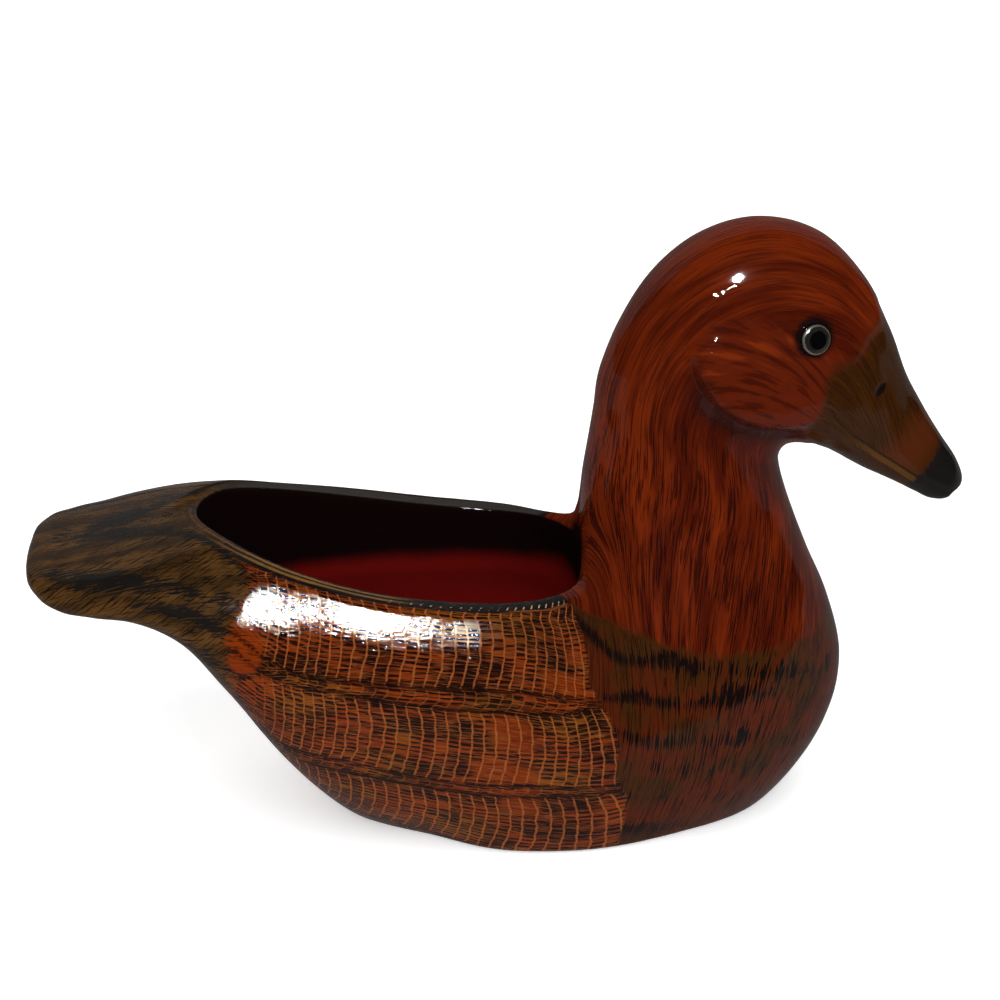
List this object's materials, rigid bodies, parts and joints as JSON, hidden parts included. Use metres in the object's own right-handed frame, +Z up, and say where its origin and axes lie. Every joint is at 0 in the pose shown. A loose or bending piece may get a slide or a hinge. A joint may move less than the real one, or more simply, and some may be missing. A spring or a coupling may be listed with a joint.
{
  "type": "wooden duck box",
  "caption": "Carved and lacquered wooden duck whose back is hollowed out as an open box, with inset glass eyes.",
  "frame": {"origin": "centre of the bounding box, on the plane that the flat base stands on", "axes": "+X toward the bill along the length of the duck, +Y toward its left side, +Z up"},
  "size_m": [0.3074, 0.1174, 0.1997],
  "materials": {
    "carved_wood": "painted and glossy lacquered",
    "eye_glass": "polished, dark pupil with a pale ring"
  },
  "bodies": {
    "root": {"duck_body": "carved_wood", "right_eye": "eye_glass", "left_eye": "eye_glass"}
  },
  "joints": []
}
